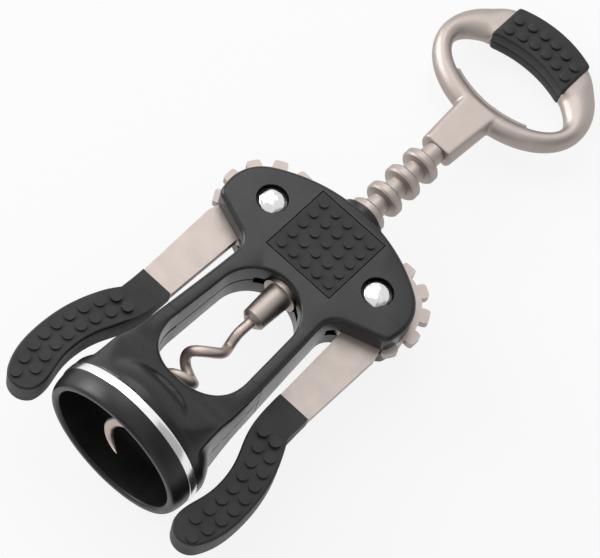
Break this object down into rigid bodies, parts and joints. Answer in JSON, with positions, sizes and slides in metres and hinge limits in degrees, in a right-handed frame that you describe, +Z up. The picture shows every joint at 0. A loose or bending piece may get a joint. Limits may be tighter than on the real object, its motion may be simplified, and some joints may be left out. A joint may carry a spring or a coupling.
{
  "type": "wing corkscrew",
  "caption": "Wing corkscrew: two geared levers lift a ringed rack whose handle and worm turn inside a bell-ended frame; studded grips and an open ring handle.",
  "frame": {"origin": "bottom centre of the bounding box, with the corkscrew lying on its back", "axes": "+Y from the bell towards the handle, along the longest extent and 6.03 degrees above the screw's own axis direction; +Z up, out of the front face; +X towards the right-hand lever"},
  "size_m": [0.0594, 0.1528, 0.037],
  "materials": {
    "body_black": "satin charcoal, finely textured",
    "soft_black": "matte, soft to the touch",
    "satin_nickel": "satin pearl nickel over a fine cast grain",
    "chrome_trim": "polished",
    "pin_steel": "polished dome",
    "worm_steel": "satin"
  },
  "bodies": {
    "frame": {"front_shell": "body_black", "rear_shell": "body_black", "front_inlay": "soft_black", "rear_inlay": "soft_black", "bell_liner": "body_black", "bell_band": "chrome_trim", "left_pivot_pin": "pin_steel", "left_pivot_cap": "pin_steel", "right_pivot_pin": "pin_steel", "right_pivot_cap": "pin_steel"},
    "rack": {"rack_sleeve": "satin_nickel"},
    "turning_group": {"handle": "satin_nickel", "handle_pad": "soft_black", "spindle": "worm_steel", "worm_collar": "satin_nickel", "worm": "worm_steel"},
    "left_lever": {"left_lever": "satin_nickel", "left_grip_front": "soft_black", "left_grip_rear": "soft_black"},
    "right_lever": {"right_lever": "satin_nickel", "right_grip_front": "soft_black", "right_grip_rear": "soft_black"}
  },
  "joints": [
    {"name": "rack_slide", "type": "slide", "parent": "frame", "child": "rack", "axis": [0, -0.9945, 0.105], "range_m": [0, 0.0242]},
    {"name": "handle_spin", "type": "hinge", "parent": "rack", "child": "turning_group", "pos_m": [0, 0.03137, 0.00822], "axis": [0, -0.9945, 0.105], "continuous": true},
    {"name": "right_lever_swing", "type": "hinge", "parent": "frame", "child": "right_lever", "pos_m": [0.0154, -0.00702, 0.01227], "axis": [0, 0.105, 0.9945], "range_deg": [0, 120.01]},
    {"name": "left_lever_swing", "type": "hinge", "parent": "frame", "child": "left_lever", "pos_m": [-0.0154, -0.00702, 0.01227], "axis": [0, 0.105, 0.9945], "range_deg": [-120.01, 0]}
  ],
  "couplings": [
    {"joint": "right_lever_swing", "follows": "rack_slide", "rad_per_m": 86.545},
    {"joint": "left_lever_swing", "follows": "rack_slide", "rad_per_m": -86.545}
  ]
}
